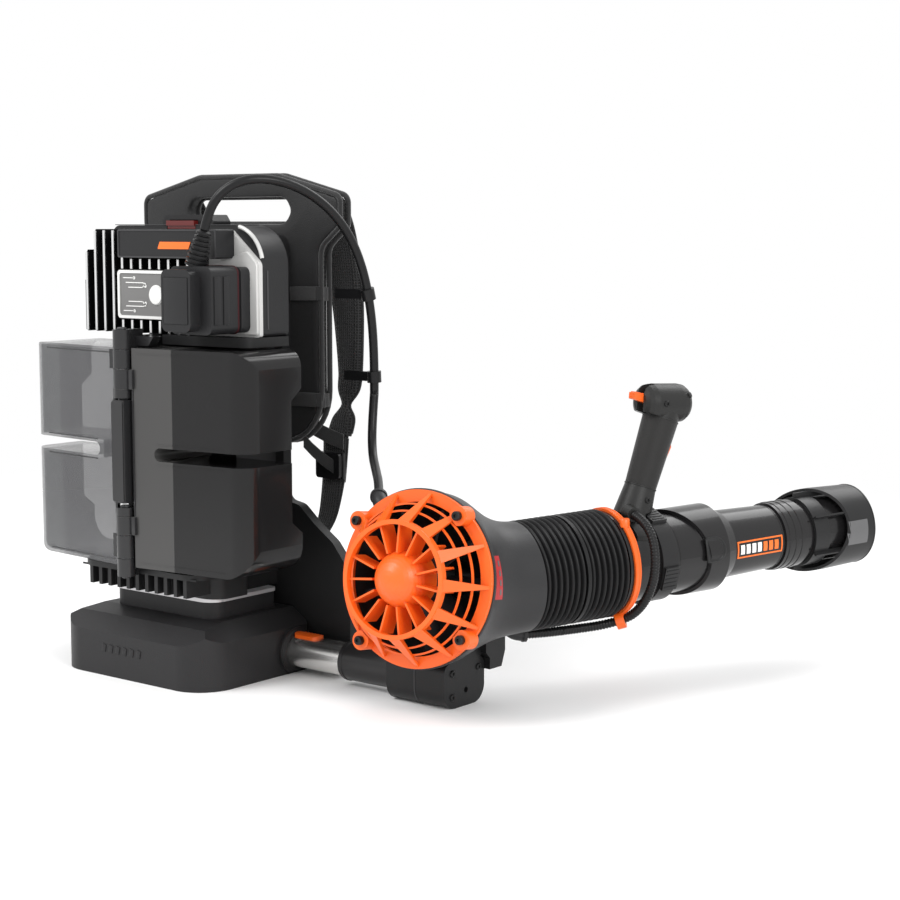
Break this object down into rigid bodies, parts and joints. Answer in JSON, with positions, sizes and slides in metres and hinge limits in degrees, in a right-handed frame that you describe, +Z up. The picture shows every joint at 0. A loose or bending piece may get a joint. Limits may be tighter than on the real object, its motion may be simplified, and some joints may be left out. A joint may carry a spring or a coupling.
{
  "type": "backpack leaf blower",
  "caption": "Battery backpack blower: frame with twin battery doors, control hub and padded harness, side arm carrying a fan with flexible hose, wand, grip and ringed nozzle.",
  "frame": {"origin": "on the floor under the hinge spine, at the middle of the base's underside", "axes": "+X to the wearer's right, +Y the way the wearer faces, +Z up"},
  "size_m": [0.7476, 0.6163, 0.53],
  "materials": {
    "shell_black": "moulded, fine texture",
    "shell_grey": "moulded, satin",
    "trim_silver": "silver paint",
    "spine_black": "semi gloss",
    "door_smoke": "smoky clear polycarbonate",
    "battery_black": "moulded",
    "contact_brass": "plated",
    "latch_red": "moulded",
    "orange": "moulded, satin",
    "pad_fabric": "leather-look padded cloth",
    "strap_mesh": "air mesh and webbing",
    "buckle_black": "moulded",
    "aluminium": "satin anodised",
    "steel": "plain",
    "hose_rubber": "ribbed",
    "tube_black": "satin",
    "grip_rubber": "soft touch",
    "cable_rubber": "smooth",
    "conduit_black": "corrugated"
  },
  "bodies": {
    "pack": {"arm_sleeve": "shell_black", "arm_tube": "aluminium", "back_pad": "pad_fabric", "backbone": "shell_black", "badge_plate": "shell_grey", "base_housing": "shell_black", "base_plate": "shell_black", "battery_lower": "battery_black", "battery_upper": "battery_black", "bay_terminals": "contact_brass", "buckles": "buckle_black", "cable_clips": "cable_rubber", "cable_drop": "cable_rubber", "cable_run": "cable_rubber", "frame_plate": "shell_black", "heat_sink": "spine_black", "hinge_pins": "steel", "hub_body": "shell_black", "hub_frame": "trim_silver", "hub_shelf": "shell_grey", "latch_cap": "shell_grey", "lower_straps": "strap_mesh", "neck_trim": "trim_silver", "plug_relief": "cable_rubber", "plug_seat": "shell_grey", "power_plug": "shell_grey", "shoulder_strap_left": "strap_mesh", "shoulder_strap_right": "strap_mesh", "spine_column": "spine_black", "spine_cover": "spine_black", "status_panel": "shell_grey", "vent_comb": "shell_grey"},
    "door_left": {"door_left": "door_smoke"},
    "door_right": {"door_right": "door_smoke"},
    "hub_latch": {"hub_latch": "latch_red"},
    "arm_button": {"arm_button": "orange"},
    "blower": {"swivel_block": "shell_black", "swivel_pin": "steel", "fan_saddle": "shell_black", "fan_housing": "shell_grey", "intake_grille": "orange", "grille_screws": "steel", "motor_pod": "tube_black", "bellows_rear": "hose_rubber", "conduit_rear": "conduit_black"},
    "rotor": {"fan_rotor": "tube_black"},
    "bellows_mid": {"bellows_ring": "hose_rubber", "bellows_front": "hose_rubber"},
    "wand": {"rear_tube": "tube_black", "hose_clamp": "orange", "wand_tube": "tube_black", "wand_sleeve": "tube_black", "handle_clamp": "shell_grey", "handle_grip": "grip_rubber", "grip_head": "shell_grey", "conduit": "conduit_black"},
    "lock_ring": {"lock_ring": "tube_black"},
    "nozzle": {"nozzle_ring": "tube_black"},
    "throttle_lever": {"throttle_lever": "orange"},
    "trigger": {"trigger": "orange"}
  },
  "joints": [
    {"name": "door_left_hinge", "type": "hinge", "parent": "pack", "child": "door_left", "pos_m": [0, -0.0745, 0.24], "axis": [0, 0, 1], "range_deg": [0, 85]},
    {"name": "door_right_hinge", "type": "hinge", "parent": "pack", "child": "door_right", "pos_m": [0, -0.0745, 0.24], "axis": [0, 0, -1], "range_deg": [0, 85]},
    {"name": "hub_latch_press", "type": "slide", "parent": "pack", "child": "hub_latch", "axis": [0, 1, 0], "range_m": [0, 0.0025], "stiffness_N_per_m": 400},
    {"name": "arm_button_press", "type": "slide", "parent": "pack", "child": "arm_button", "axis": [0, 0, -1], "range_m": [0, 0.003], "stiffness_N_per_m": 400, "springref_m": -0.001},
    {"name": "blower_tilt", "type": "hinge", "parent": "pack", "child": "blower", "pos_m": [0.29, 0.06, 0.025], "axis": [1, 0, 0], "range_deg": [-8, 25], "deforming": ["cable_drop"]},
    {"name": "fan_spin", "type": "hinge", "parent": "blower", "child": "rotor", "pos_m": [0.3354, 0, 0.137], "axis": [-0.0863, 0.9865, -0.1392], "continuous": true},
    {"name": "hose_yaw", "type": "hinge", "parent": "blower", "child": "bellows_mid", "pos_m": [0.39267, 0.1574, 0.13001], "axis": [-0.0166, -0.0422, 0.999], "range_deg": [-18, 18], "deforming": ["bellows_rear", "conduit_rear"]},
    {"name": "hose_pitch", "type": "hinge", "parent": "bellows_mid", "child": "wand", "pos_m": [0.39267, 0.1574, 0.13001], "axis": [0.9304, -0.3665, 0], "range_deg": [-12, 18], "deforming": ["bellows_front", "conduit"]},
    {"name": "lock_ring_turn", "type": "hinge", "parent": "wand", "child": "lock_ring", "pos_m": [0.43148, 0.25593, 0.13482], "axis": [0.3661, 0.9295, 0.0454], "range_deg": [0, 25]},
    {"name": "nozzle_slide", "type": "slide", "parent": "wand", "child": "nozzle", "axis": [0.3661, 0.9295, 0.0454], "range_m": [0, 0.012]},
    {"name": "throttle_lever_turn", "type": "hinge", "parent": "wand", "child": "throttle_lever", "pos_m": [0.43236, 0.25816, 0.29757], "axis": [0.9304, -0.3665, 0], "range_deg": [0, 40]},
    {"name": "trigger_pull", "type": "slide", "parent": "wand", "child": "trigger", "axis": [-0.3661, -0.9295, -0.0454], "range_m": [0, 0.005], "stiffness_N_per_m": 300, "springref_m": -0.002}
  ]
}
